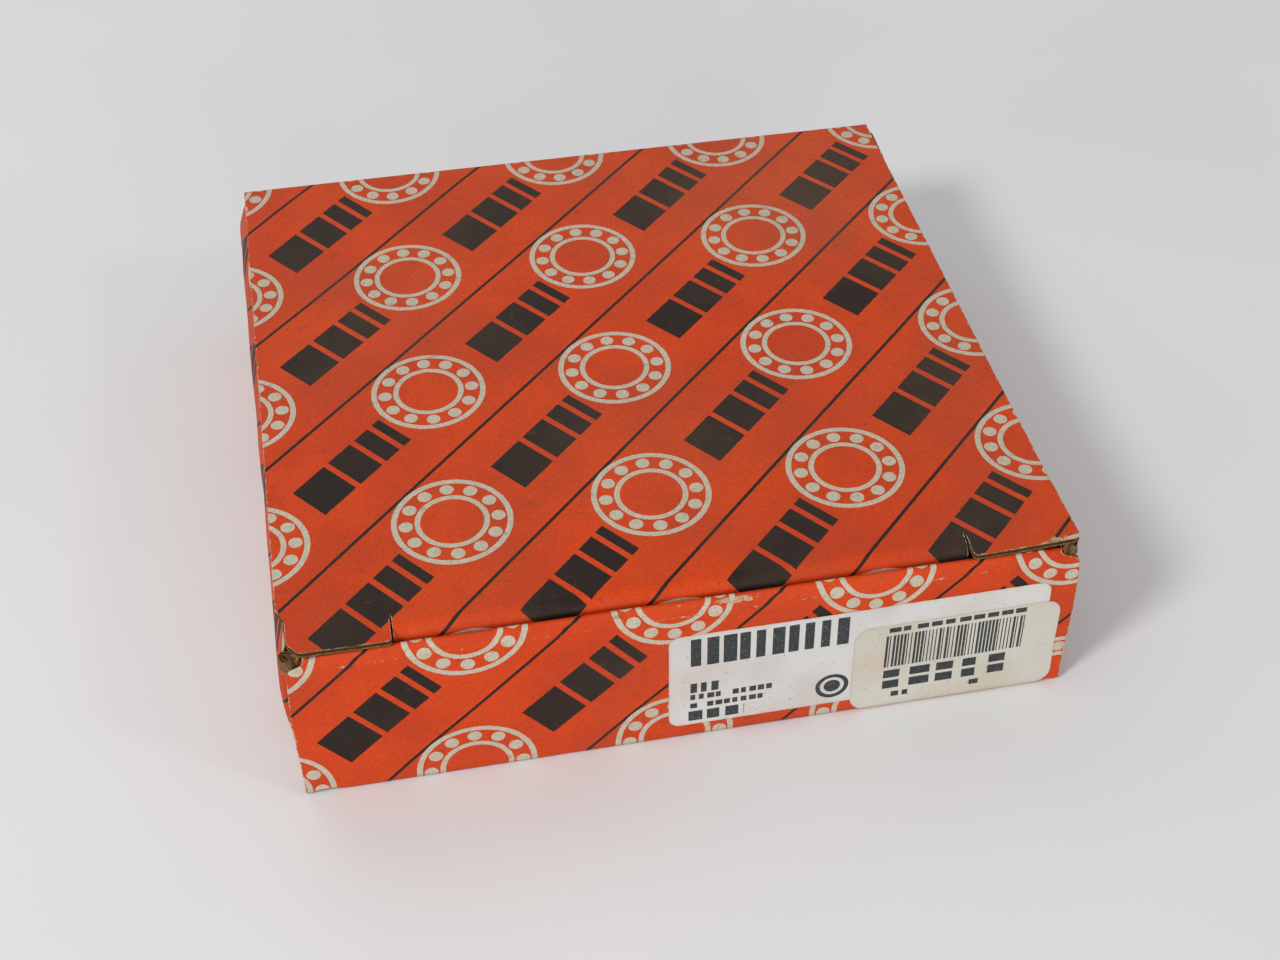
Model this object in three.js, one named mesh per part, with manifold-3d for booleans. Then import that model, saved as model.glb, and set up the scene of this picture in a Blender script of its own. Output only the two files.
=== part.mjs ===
// A boxed angular contact ball bearing: a printed micro-corrugated carton with a hinged lid
// and tuck flap, and the bearing (two rings, window cage and balls) lying flat inside it.
// Millimetres, +Z up. The origin is the centre of the carton's base, on the resting surface.
// +X runs to the right along the front wall and the lid's hinge runs along X at the rear.

import * as THREE from 'three';
import { mergeVertices } from 'three/addons/utils/BufferGeometryUtils.js';
import Module from 'manifold-3d';

// ---- Driving dimensions ---------------------------------------------------------------

// Bearing: boundary dimensions and the ball set
const BORE = 60;
const OUTSIDE = 130;
const RING_WIDTH = 31;
const BALL_COUNT = 12;
const BALL_DIAMETER = 22.2;
const PITCH_DIAMETER = 95;
const RUNNING_GAP = 0.3;            // between the balls and the raceways
const POCKET_GAP = 0.5;             // between the balls and the cage
const CONTACT_ANGLE = THREE.MathUtils.degToRad(40);
const OUTER_HIGH_SHOULDER = 52;     // radii of the four ring shoulders
const OUTER_LOW_SHOULDER = 58.2;
const INNER_HIGH_SHOULDER = 43.6;
const INNER_LOW_SHOULDER = 36.8;
const RING_CHAMFER = 1.6;           // on the wide corners of both rings
const FINE_CHAMFER = 0.6;           // on the shoulder corners

// Cage: a conical band that leans from the small ring at the top to the large one below
const CAGE_TOP = 14;                // above and below the balls' plane
const CAGE_TOP_INSIDE = 38.1;
const CAGE_TOP_OUTSIDE = 44.5;
const CAGE_BOTTOM_INSIDE = 50.5;
const CAGE_BOTTOM_OUTSIDE = 57.2;
const CAGE_RIM = 6;                 // height of the straight rim at each end

// Carton: outside size without the labels, and the board it is folded from
const CARTON_WIDTH = 139;
const CARTON_DEPTH = 136.6;
const CARTON_HEIGHT = 35.5;
const BOARD = 1.1;
const CORNER_RADIUS = 1.2;
const PANEL_GAP = 0.3;              // between panels that meet at a moving crease

// Lid and tuck flap
const SHOULDER_SETBACK = 0.4;       // the lid's front edge stays this far behind the front wall
const NOTCH_LEFT = -51.2;           // the tuck flap lies between the two slits
const NOTCH_RIGHT = 50.2;
const SLIT = 0.4;
const SHOULDER_RADIUS = 1.0;
const LID_CREASE_BULGE = 0.35;      // the rear crease stands this far behind the rear wall
const FLAP_GAP = 0.4;               // between the tuck flap's roll and the front wall's inner ply
const FLAP_REACH = 12.5;            // from the top of the lid to the flap's free edge
const FLAP_ROLL = 2.6;              // outer radius of the rolled front edge
const FLAP_LEAN = THREE.MathUtils.degToRad(5);  // the free edge leans in, away from the wall
const FLAP_CORNER = 7.0;

// Walls: the front wall is one board rolled over into two plies, and the others are single
const FRONT_WALL_DROP = 1.8;        // the rolled top lies this far under the top of the lid
const FRONT_ROLL = 1.0;             // radius of the rolled top
const CUT_EDGE = 0.2;               // softening of a cut edge

// Labels on the front wall
const LABEL_THICKNESS = 0.15;
const LABEL_STEP = 0.2;             // label thickness with the glue line under it
const PRODUCT_LABEL = { x: 30.7, z: 14.95, width: 69.8, height: 23.2, radius: 2.1 };
const STOCK_LABEL = { x: 48.8, z: 11.1, width: 38.5, height: 21.2, radius: 3.1 };

// Smoothness
const RING_SEGMENTS = 48;
const GROOVE_STEPS = 7;
const BALL_DETAIL = 2;
const POCKET_SEGMENTS = 20;

// ---- Derived dimensions ---------------------------------------------------------------

const pitchRadius = PITCH_DIAMETER / 2;
const ballRadius = BALL_DIAMETER / 2;
const clearRadius = ballRadius + RUNNING_GAP;
const halfRing = RING_WIDTH / 2;
const halfWidth = CARTON_WIDTH / 2;
const halfDepth = CARTON_DEPTH / 2;
const lidUnderside = CARTON_HEIGHT - BOARD;
const lidMiddle = CARTON_HEIGHT - BOARD / 2;
const wallTop = lidUnderside - PANEL_GAP;
const frontWallTop = CARTON_HEIGHT - FRONT_WALL_DROP;
const lidHingeY = halfDepth + LID_CREASE_BULGE - BOARD / 2;
const flapHingeY = -halfDepth + 2 * BOARD + FLAP_GAP + FLAP_ROLL;
const flapRollZ = CARTON_HEIGHT - FLAP_ROLL;
const flapPanel = (FLAP_REACH - FLAP_ROLL - FLAP_ROLL * Math.sin(FLAP_LEAN)) / Math.cos(FLAP_LEAN);
const flapTipY = flapHingeY + flapPanel * Math.sin(FLAP_LEAN) - (FLAP_ROLL - BOARD) * Math.cos(FLAP_LEAN);
const bearingZ = BOARD + PANEL_GAP + halfRing;
const bearingY = flapTipY + PANEL_GAP + OUTSIDE / 2;

// ---- Materials ------------------------------------------------------------------------

const material = (color, roughness, metalness) =>
    new THREE.MeshStandardMaterial({ color, roughness, metalness });

const printedBoard = () => material(0xcc4a2b, 0.75, 0);
const whitePaper = () => material(0xe6e4e0, 0.6, 0);
const creamPaper = () => material(0xdcd6ca, 0.65, 0);
const ringSteel = () => material(0xb9bcbf, 0.25, 1);
const ballSteel = () => material(0xd8dadc, 0.08, 1);
const polyamide = () => material(0xcfc6ac, 0.5, 0);

// ---- Solid helpers --------------------------------------------------------------------

const wasm = await Module();
wasm.setup();

function toSolid(geometry) {
    const bare = geometry.clone();
    bare.deleteAttribute('normal');
    bare.deleteAttribute('uv');
    const merged = mergeVertices(bare, 1e-4);
    const vertProperties = new Float32Array(merged.attributes.position.array);
    const triVerts = new Uint32Array(merged.index.array);
    return new wasm.Manifold(new wasm.Mesh({ numProp: 3, vertProperties, triVerts }));
}

function toGeometry(solid) {
    const mesh = solid.getMesh();
    const geometry = new THREE.BufferGeometry();
    geometry.setAttribute('position', new THREE.BufferAttribute(mesh.vertProperties, 3));
    geometry.setIndex(new THREE.BufferAttribute(mesh.triVerts, 1));
    geometry.computeVertexNormals();
    return geometry;
}

const joined = (solids) => solids.reduce((whole, solid) => whole.add(solid));

function part(name, geometry, finish) {
    const mesh = new THREE.Mesh(geometry, finish);
    mesh.name = name;
    return mesh;
}

function roundedRectangle(width, height, radius) {
    const x = width / 2 - radius;
    const y = height / 2 - radius;
    const shape = new THREE.Shape();
    shape.absarc(x, y, radius, 0, Math.PI / 2);
    shape.absarc(-x, y, radius, Math.PI / 2, Math.PI);
    shape.absarc(-x, -y, radius, Math.PI, 1.5 * Math.PI);
    shape.absarc(x, -y, radius, 1.5 * Math.PI, 2 * Math.PI);
    return shape;
}

function extrude(shape, depth, curveSegments = 4) {
    return new THREE.ExtrudeGeometry(shape, { depth, curveSegments, bevelEnabled: false });
}

// A (y, z) profile drawn out along X, centred on x = 0
function alongX(profile, length, curveSegments) {
    const geometry = extrude(profile, length, curveSegments);
    geometry.rotateY(Math.PI / 2);
    geometry.rotateX(Math.PI / 2);
    return geometry.translate(-length / 2, 0, 0);
}

// An (x, z) outline drawn out along Y from the plane y = back towards the front
function alongFront(outline, back, depth, curveSegments) {
    const geometry = extrude(outline, depth, curveSegments);
    geometry.rotateX(Math.PI / 2);
    return geometry.translate(0, back, 0);
}

// ---- Carton ---------------------------------------------------------------------------

// The upright section of a wall, with its top corners rounded
function wallSection(thickness, top, round) {
    const shape = new THREE.Shape();
    shape.moveTo(0, 0);
    shape.lineTo(thickness, 0);
    shape.lineTo(thickness, top - round);
    shape.absarc(thickness - round, top - round, round, 0, Math.PI / 2);
    shape.absarc(round, top - round, round, Math.PI / 2, Math.PI);
    shape.lineTo(0, 0);
    return shape;
}

function cartonTray() {
    const outline = extrude(roundedRectangle(CARTON_WIDTH, CARTON_DEPTH, CORNER_RADIUS), CARTON_HEIGHT);
    const base = extrude(roundedRectangle(CARTON_WIDTH, CARTON_DEPTH, CORNER_RADIUS), BOARD);
    const front = alongX(wallSection(2 * BOARD, frontWallTop, FRONT_ROLL), CARTON_WIDTH);
    front.translate(0, -halfDepth, 0);
    const rear = alongX(wallSection(BOARD, wallTop, CUT_EDGE), CARTON_WIDTH);
    rear.translate(0, halfDepth - BOARD, 0);
    const side = alongX(wallSection(BOARD, wallTop, CUT_EDGE), CARTON_DEPTH);
    side.translate(0, -BOARD / 2, 0).rotateZ(-Math.PI / 2);
    const left = side.clone().translate(-halfWidth + BOARD / 2, 0, 0);
    const right = side.translate(halfWidth - BOARD / 2, 0, 0);
    const walls = joined([base, front, rear, left, right].map(toSolid));
    return part('carton_tray', toGeometry(walls.intersect(toSolid(outline))), printedBoard());
}

function cartonLid() {
    const shoulderY = -halfDepth + SHOULDER_SETBACK;
    const creaseY = flapHingeY + BOARD / 2 + PANEL_GAP;
    const corner = SHOULDER_RADIUS;
    const plan = new THREE.Shape();
    plan.moveTo(halfWidth, lidHingeY);
    plan.lineTo(-halfWidth, lidHingeY);
    plan.absarc(-halfWidth + corner, shoulderY + corner, corner, Math.PI, 1.5 * Math.PI);
    plan.absarc(NOTCH_LEFT - corner, shoulderY + corner, corner, 1.5 * Math.PI, 2 * Math.PI);
    plan.lineTo(NOTCH_LEFT, creaseY);
    plan.lineTo(NOTCH_RIGHT, creaseY);
    plan.absarc(NOTCH_RIGHT + corner, shoulderY + corner, corner, Math.PI, 1.5 * Math.PI);
    plan.absarc(halfWidth - corner, shoulderY + corner, corner, 1.5 * Math.PI, 2 * Math.PI);
    plan.lineTo(halfWidth, lidHingeY);
    const panel = extrude(plan, BOARD).translate(0, 0, lidUnderside);
    const crease = new THREE.CylinderGeometry(BOARD / 2, BOARD / 2, CARTON_WIDTH, 12);
    crease.rotateZ(Math.PI / 2).translate(0, lidHingeY, lidMiddle);
    return part('carton_lid', toGeometry(toSolid(panel).add(toSolid(crease))), printedBoard());
}

// A point of the tuck flap's section: how far round the roll's centre and along the panel
function flapPoint(radius, along) {
    const y = flapHingeY - radius * Math.cos(FLAP_LEAN) + along * Math.sin(FLAP_LEAN);
    const z = flapRollZ - radius * Math.sin(FLAP_LEAN) - along * Math.cos(FLAP_LEAN);
    return [y, z];
}

function tuckFlap() {
    const bottom = CARTON_HEIGHT - FLAP_REACH;
    const panelAngle = Math.PI + FLAP_LEAN;
    const section = new THREE.Shape();
    section.absarc(flapHingeY, lidMiddle, BOARD / 2, -Math.PI / 2, Math.PI / 2);
    section.absarc(flapHingeY, flapRollZ, FLAP_ROLL, Math.PI / 2, panelAngle);
    section.lineTo(...flapPoint(FLAP_ROLL, flapPanel));
    section.lineTo(...flapPoint(FLAP_ROLL - BOARD, flapPanel));
    section.absarc(flapHingeY, flapRollZ, FLAP_ROLL - BOARD, panelAngle, Math.PI / 2, true);
    const width = NOTCH_RIGHT - NOTCH_LEFT - 2 * SLIT;
    const middle = (NOTCH_RIGHT + NOTCH_LEFT) / 2;
    const strip = alongX(section, width, 6).translate(middle, 0, 0);

    const x = width / 2;
    const top = CARTON_HEIGHT + 1;
    const front = new THREE.Shape();
    front.moveTo(-x, top);
    front.absarc(-x + FLAP_CORNER, bottom + FLAP_CORNER, FLAP_CORNER, Math.PI, 1.5 * Math.PI);
    front.absarc(x - FLAP_CORNER, bottom + FLAP_CORNER, FLAP_CORNER, 1.5 * Math.PI, 2 * Math.PI);
    front.lineTo(x, top);
    front.lineTo(-x, top);
    const trim = alongFront(front, flapHingeY + 2 * BOARD, 4 * FLAP_ROLL, 6).translate(middle, 0, 0);
    return part('carton_tuck_flap', toGeometry(toSolid(strip).intersect(toSolid(trim))), printedBoard());
}

function label(name, place, back, finish) {
    const outline = roundedRectangle(place.width, place.height, place.radius);
    const sheet = alongFront(outline, 0, LABEL_THICKNESS);
    const mesh = part(name, sheet, finish);
    mesh.position.set(place.x, back, place.z);
    return mesh;
}

// ---- Bearing --------------------------------------------------------------------------

// Points of the groove round the balls, from one angle to another about the ball's centre,
// measured from the radial direction
function groove(from, to) {
    const points = [];
    for (let i = 0; i <= GROOVE_STEPS; i++) {
        const angle = from + (to - from) * (i / GROOVE_STEPS);
        const r = pitchRadius + clearRadius * Math.cos(angle);
        points.push(new THREE.Vector2(r, clearRadius * Math.sin(angle)));
    }
    return points;
}

// A closed (radius, height) profile turned about the bearing's axis
function turned(points) {
    const closed = [...points, points[0].clone()];
    return new THREE.LatheGeometry(closed, RING_SEGMENTS).rotateX(Math.PI / 2);
}

const point = (r, z) => new THREE.Vector2(r, z);

function outerRing() {
    const outside = OUTSIDE / 2;
    const topAngle = Math.acos((OUTER_HIGH_SHOULDER - pitchRadius) / clearRadius);
    const lowAngle = -Math.acos((OUTER_LOW_SHOULDER - pitchRadius) / clearRadius);
    const profile = [
        point(outside - FINE_CHAMFER, -halfRing),
        point(outside, -halfRing + FINE_CHAMFER),
        point(outside, halfRing - RING_CHAMFER),
        point(outside - RING_CHAMFER, halfRing),
        point(OUTER_HIGH_SHOULDER + FINE_CHAMFER, halfRing),
        point(OUTER_HIGH_SHOULDER, halfRing - FINE_CHAMFER),
        ...groove(topAngle, lowAngle),
        point(OUTER_LOW_SHOULDER + FINE_CHAMFER, -halfRing),
    ];
    return part('outer_ring', turned(profile), ringSteel());
}

function innerRing() {
    const bore = BORE / 2;
    const topAngle = Math.PI - Math.acos((pitchRadius - INNER_LOW_SHOULDER) / clearRadius);
    const lowAngle = Math.PI + Math.acos((pitchRadius - INNER_HIGH_SHOULDER) / clearRadius);
    const profile = [
        point(bore, halfRing - RING_CHAMFER),
        point(bore, -halfRing + RING_CHAMFER),
        point(bore + RING_CHAMFER, -halfRing),
        point(INNER_HIGH_SHOULDER - FINE_CHAMFER, -halfRing),
        point(INNER_HIGH_SHOULDER, -halfRing + FINE_CHAMFER),
        ...groove(lowAngle, topAngle),
        point(INNER_LOW_SHOULDER, halfRing - FINE_CHAMFER),
        point(INNER_LOW_SHOULDER - FINE_CHAMFER, halfRing),
        point(bore + RING_CHAMFER, halfRing),
    ];
    return part('inner_ring', turned(profile), ringSteel());
}

// Where each ball sits on the pitch circle, and its angle there
function ballPlaces() {
    const places = [];
    for (let i = 0; i < BALL_COUNT; i++) {
        const angle = (2 * Math.PI * i) / BALL_COUNT;
        places.push([pitchRadius * Math.cos(angle), pitchRadius * Math.sin(angle), angle]);
    }
    return places;
}

function cage() {
    const profile = [
        point(CAGE_BOTTOM_INSIDE, -CAGE_TOP),
        point(CAGE_BOTTOM_OUTSIDE, -CAGE_TOP),
        point(CAGE_BOTTOM_OUTSIDE, -CAGE_TOP + CAGE_RIM),
        point(CAGE_TOP_OUTSIDE, CAGE_TOP),
        point(CAGE_TOP_INSIDE, CAGE_TOP),
        point(CAGE_TOP_INSIDE, CAGE_TOP - CAGE_RIM),
    ];
    const sphere = new THREE.SphereGeometry(ballRadius + POCKET_GAP, POCKET_SEGMENTS, POCKET_SEGMENTS / 2);
    const pockets = ballPlaces().map(([x, y, angle]) => {
        const pocket = sphere.clone().rotateZ(CONTACT_ANGLE - Math.PI / 2).rotateX(Math.PI / 2);
        return toSolid(pocket.rotateZ(angle).translate(x, y, 0));
    });
    const band = toSolid(turned(profile));
    return part('cage', toGeometry(band.subtract(joined(pockets))), polyamide());
}

function ball(number, [x, y]) {
    const name = `ball_${String(number).padStart(2, '0')}`;
    const mesh = part(name, new THREE.IcosahedronGeometry(ballRadius, BALL_DETAIL), ballSteel());
    mesh.position.set(x, y, 0);
    return mesh;
}

// ---- Assembly -------------------------------------------------------------------------

const carton = new THREE.Group();
carton.add(cartonTray(), cartonLid(), tuckFlap());
carton.add(label('product_label', PRODUCT_LABEL, -halfDepth, whitePaper()));
carton.add(label('stock_label', STOCK_LABEL, -halfDepth - LABEL_STEP, creamPaper()));

const bearing = new THREE.Group();
bearing.position.set(0, bearingY, bearingZ);
bearing.add(outerRing(), innerRing(), cage());
ballPlaces().forEach((place, i) => bearing.add(ball(i + 1, place)));

const boxedBearing = new THREE.Group();
boxedBearing.add(carton, bearing);

export default boxedBearing;
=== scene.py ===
"""A boxed angular contact ball bearing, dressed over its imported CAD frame.

The carton is folded from printed micro-corrugated board: every panel is drawn as a flat
outline and folded along a section, so the print runs on round the creases and the raw
edges show liner, core and flutes. Sizes below are millimetres; the meshes are metres.
"""

import math

import bmesh
import bpy
import numpy as np
from mathutils import Matrix, Vector
from mathutils.geometry import delaunay_2d_cdt


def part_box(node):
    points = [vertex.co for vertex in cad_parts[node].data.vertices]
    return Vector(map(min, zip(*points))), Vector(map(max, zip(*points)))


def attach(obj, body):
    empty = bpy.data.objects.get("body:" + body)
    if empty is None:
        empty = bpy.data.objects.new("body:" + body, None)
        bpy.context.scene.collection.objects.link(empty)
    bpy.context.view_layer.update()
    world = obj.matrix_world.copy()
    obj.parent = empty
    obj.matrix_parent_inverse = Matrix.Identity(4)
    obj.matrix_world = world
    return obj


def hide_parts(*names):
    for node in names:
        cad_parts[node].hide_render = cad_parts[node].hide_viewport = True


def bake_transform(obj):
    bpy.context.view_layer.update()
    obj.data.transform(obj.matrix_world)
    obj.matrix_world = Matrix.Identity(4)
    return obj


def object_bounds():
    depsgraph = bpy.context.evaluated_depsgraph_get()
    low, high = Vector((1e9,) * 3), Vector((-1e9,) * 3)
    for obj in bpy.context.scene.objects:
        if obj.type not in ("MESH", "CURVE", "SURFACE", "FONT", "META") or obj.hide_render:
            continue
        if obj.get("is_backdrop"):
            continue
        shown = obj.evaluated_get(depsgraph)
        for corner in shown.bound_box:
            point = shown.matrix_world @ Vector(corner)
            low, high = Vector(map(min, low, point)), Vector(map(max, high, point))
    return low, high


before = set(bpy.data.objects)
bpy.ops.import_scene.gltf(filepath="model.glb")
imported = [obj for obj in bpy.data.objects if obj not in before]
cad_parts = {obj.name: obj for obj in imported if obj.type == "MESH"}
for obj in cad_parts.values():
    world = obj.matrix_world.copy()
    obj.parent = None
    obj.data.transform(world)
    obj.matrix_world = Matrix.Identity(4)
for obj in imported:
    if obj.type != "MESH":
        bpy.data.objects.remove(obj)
cad_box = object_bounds()

MM = 0.001

# ---- Sizes ----

HALF_WIDTH = 69.5
HALF_DEPTH = 68.3
HEIGHT = 35.5
BOARD = 1.05                        # its thickness
LINER = 0.17                        # each liner's share of the board's thickness
FLUTE_PITCH = 2.6

LID_LEFT = (-70.35, -69.1)          # the lid widens a little from its rear to its front
LID_RIGHT = (69.85, 68.4)
WALL_HALF = 68.75                   # where the rear board ends, inside the side folds
FRONT_HALF = 69.85                  # and the front board, past them
WALL_TOP = 34.1
FRONT_TOP = 33.7
FRONT_FOLD = 1.1
FRONT_ROLL = 1.1
FRONT_DEEP = 2.6                    # the rolled wall from front to back, with its play
FRONT_WEAR_LINE = 31.3
SHOULDER_Y = -67.9
CREASE_Y = -60.0                    # where the lid ends and the tuck flap's board begins
NOTCH_BACK = -62.3
NOTCH = (-51.2, 50.2)
SLIT = 0.2
REAR_SKEW = 0.75                    # the rear crease runs this far off square at each end
FLAP_ROLL = 2.6
FLAP_CENTRE_Y = -HALF_DEPTH + FRONT_DEEP + FLAP_ROLL
FLAP_LEAN = 5.0
FLAP_DROP = 12.5
REAR_FOLD = 1.1
SIDE_FOLD = 1.2
REAR_TAB = 14.0
FRONT_TAB = 3.0
CURL_AT = 68.0                      # the curled top of each front corner

# Where the board would start and stop bending at each crease, in metres; the script does not bend
# it there.
REAR_BEND = ((0, 0.0686, 0.0338), (0, 0.0668, 0.0356))
FLAP_BEND = ((0, -0.0615, 0.0352), (0, -0.0656, 0.0330))

# The print repeats every cell: a ring of balls, a block mark and a diagonal line
CELL = (36.09, 36.53)
LID_RING = (-1.84, -4.61)
FRONT_RING = (-3.14, 1.0)
FRONT_STRETCH = 1.061               # the wall leans, which closes up the print on it
SIDE_RING = (-6.0, 7.5)
CIRCLES = ((10.37, 0.52), (6.2, 0.5))       # the ring's: radius and half the line's width
DOT_CIRCLE = 8.3
DOT_RADIUS = 1.27
BLOCK_AT = (-16.1, 18.1)
BLOCK_SLANT = 0.12
BARS = (8.6, 6.2, 3.9, 2.1)
BAR_GAP = 1.2
BAR_REACH = 4.35                    # half a bar's height
STRIP = 25.67                       # between two diagonal lines
LINE_AT = -11.08
LINE_REACH = 0.33

PRODUCT_LABEL = dict(x=30.7, z=14.95, width=69.8, height=23.2, radius=2.1)
STOCK_LABEL = dict(x=48.8, z=11.1, width=38.5, height=21.2, radius=3.1)

BORE_RADIUS = 30.0
OUTER_RADIUS = 65.0
HALF_RING = 15.5                    # half the bearing's width
RING_STEPS = 192
PITCH_RADIUS = 47.5
BALLS = 12
BALL_RADIUS = 11.1
GROOVE_RADIUS = 11.4
GROOVE_STEPS = 26
POCKET_PLAY = 0.45                  # between a ball and its pocket in the cage

CAMERA_PLACE = (-53.41, -308.25, 290.19)
CAMERA_RIGHT = (0.981738, -0.190049, -0.008503)
CAMERA_UP = (0.135095, 0.664998, 0.734525)
CAMERA_LENS = 58.13


# ---- Node graphs ----

class Graph:
    """One material's nodes."""

    def __init__(self, name):
        self.material = bpy.data.materials.new(name)
        self.material.use_nodes = True
        self.tree = self.material.node_tree
        self.tree.nodes.clear()
        self.shader = self.tree.nodes.new("ShaderNodeBsdfPrincipled")
        output = self.tree.nodes.new("ShaderNodeOutputMaterial")
        self.tree.links.new(self.shader.outputs[0], output.inputs[0])

    def node(self, kind, inputs=(), **settings):
        node = self.tree.nodes.new(kind)
        for key, value in settings.items():
            setattr(node, key, value)
        for key, value in dict(inputs).items():
            self.feed(node.inputs[key], value)
        return node

    def feed(self, socket, value):
        """Links a node's output or a Number to a socket, or sets a plain value on it."""
        if isinstance(value, Number):
            value = value.socket
        if isinstance(value, bpy.types.NodeSocket):
            self.tree.links.new(value, socket)
        elif socket.type == "RGBA" and len(value) == 3:
            socket.default_value = (*value, 1)
        else:
            socket.default_value = value

    def maths(self, operation, *values):
        """A Math node's result."""
        node = self.node("ShaderNodeMath", operation=operation)
        for socket, value in zip(node.inputs, values):
            self.feed(socket, value)
        return Number(self, node.outputs[0])

    def place(self, name):
        """A vector attribute of the mesh."""
        return self.node("ShaderNodeAttribute", attribute_name=name).outputs["Vector"]

    def field(self, name):
        """A number attribute of the mesh."""
        return Number(self, self.node("ShaderNodeAttribute", attribute_name=name).outputs["Fac"])

    def split(self, vector):
        node = self.node("ShaderNodeSeparateXYZ", {0: vector})
        return [Number(self, output) for output in node.outputs]

    def vector(self, x, y, z=0.0):
        return self.node("ShaderNodeCombineXYZ", {0: x, 1: y, 2: z}).outputs[0]

    def noise(self, vector, scale, detail=2.0, roughness=0.5):
        inputs = {"Vector": vector, "Scale": scale, "Detail": detail, "Roughness": roughness}
        return Number(self, self.node("ShaderNodeTexNoise", inputs).outputs[0])

    def chance(self, vector):
        """A random number from 0 to 1 that is the same for the same vector."""
        node = self.node("ShaderNodeTexWhiteNoise", {"Vector": vector})
        return Number(self, node.outputs["Value"])

    def ramp(self, value, low, high, first=0.0, last=1.0):
        """A smooth step from first to last as the value goes from low to high."""
        inputs = {"Value": value, "From Min": low, "From Max": high,
                  "To Min": first, "To Max": last}
        node = self.node("ShaderNodeMapRange", inputs, interpolation_type="SMOOTHSTEP")
        return Number(self, node.outputs[0])

    def blend(self, share, first, second):
        inputs = {0: share, 6: first, 7: second}
        return self.node("ShaderNodeMix", inputs, data_type="RGBA").outputs[2]

    def layers(self, colour, *tints):
        """Lays tints over a colour, each (tint, value, low, high, share): it reaches its share
        where the value reaches high."""
        for tint, value, low, high, share in tints:
            colour = self.blend(self.ramp(value, low, high, 0.0, share), colour, tint)
        return colour

    def finish(self, colour, roughness, height, **settings):
        """Sets the shader; height is the relief in millimetres."""
        self.feed(self.shader.inputs["Base Color"], colour)
        self.feed(self.shader.inputs["Roughness"], roughness)
        for key, value in settings.items():
            self.feed(self.shader.inputs[key.replace("_", " ")], value)
        bump = self.node("ShaderNodeBump", {"Height": height, "Distance": MM, "Strength": 1.0})
        self.feed(self.shader.inputs["Normal"], bump.outputs[0])
        return self.material


def maths(operation):
    """A method that puts a Math node on a Number."""
    return lambda self, *others: self.graph.maths(operation, self, *others)


class Number:
    """A number inside a graph; ordinary arithmetic on it adds Math nodes."""

    def __init__(self, graph, socket):
        self.graph = graph
        self.socket = socket

    __add__ = __radd__ = maths("ADD")
    __sub__ = maths("SUBTRACT")
    __mul__ = __rmul__ = maths("MULTIPLY")
    __truediv__ = maths("DIVIDE")
    __abs__ = maths("ABSOLUTE")
    root = maths("SQRT")
    sine = maths("SINE")
    cosine = maths("COSINE")
    nearest = maths("ROUND")
    floor = maths("FLOOR")
    below = maths("LESS_THAN")
    above = maths("GREATER_THAN")
    most = maths("MAXIMUM")

    def __rsub__(self, other):
        return self.graph.maths("SUBTRACT", other, self)

    def wrapped(self, period):
        """The distance to the nearest multiple of the period, with its sign."""
        return self - (self / period).nearest() * period


def srgb(red, green, blue):
    """A colour given as 0 to 255 display values."""
    def linear(value):
        value /= 255
        return value / 12.92 if value < 0.04045 else ((value + 0.055) / 1.055) ** 2.4
    return (linear(red), linear(green), linear(blue))


# ---- Printed board ----

INK_ORANGE = srgb(214, 66, 5)
INK_ORANGE_DEEP = srgb(198, 56, 4)
INK_BLACK = srgb(24, 18, 14)
PAPER = srgb(199, 190, 170)
PAPER_TORN = srgb(205, 188, 158)
KRAFT = srgb(158, 124, 84)
KRAFT_DARK = srgb(112, 82, 50)


def ring_of_balls(g, u, v):
    """The bearing pictogram: two circles with twelve dots between them."""
    x = u.wrapped(CELL[0])
    y = v.wrapped(CELL[1])
    r = (x * x + y * y).root()
    outer, inner = (abs(r - radius).below(reach) for radius, reach in CIRCLES)
    turn = g.maths("ARCTAN2", y, x).wrapped(2 * math.pi / BALLS)
    across = r * turn.cosine() - DOT_CIRCLE
    aside = r * turn.sine()
    dots = (across * across + aside * aside).below(DOT_RADIUS ** 2)
    return outer.most(inner).most(dots)


def block_mark(u, v):
    """Four solid bars of falling width along the diagonal."""
    x = (u - BLOCK_AT[0]).wrapped(CELL[0])
    y = (v - BLOCK_AT[1]).wrapped(CELL[1])
    aside = (y - x) * math.sqrt(0.5)
    along = (x + y) * math.sqrt(0.5) - aside * BLOCK_SLANT
    middle = -(sum(BARS) + 3 * BAR_GAP) / 2
    bars = []
    for width in BARS:
        middle += width / 2
        bars.append(abs(along - middle).below(width / 2))
        middle += width / 2 + BAR_GAP
    return bars[0].most(bars[1]).most(bars[2]).most(bars[3]) * abs(aside).below(BAR_REACH)


def diagonal_line(u, v):
    """A thin line from corner to corner of the cell."""
    across = (u / CELL[0] - v / CELL[1]) * STRIP - LINE_AT
    return abs(across.wrapped(STRIP)).below(LINE_REACH)


def flute_relief(v):
    """The washboard that the flutes leave in the liner."""
    return (v * (2 * math.pi / FLUTE_PITCH)).sine()


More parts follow.
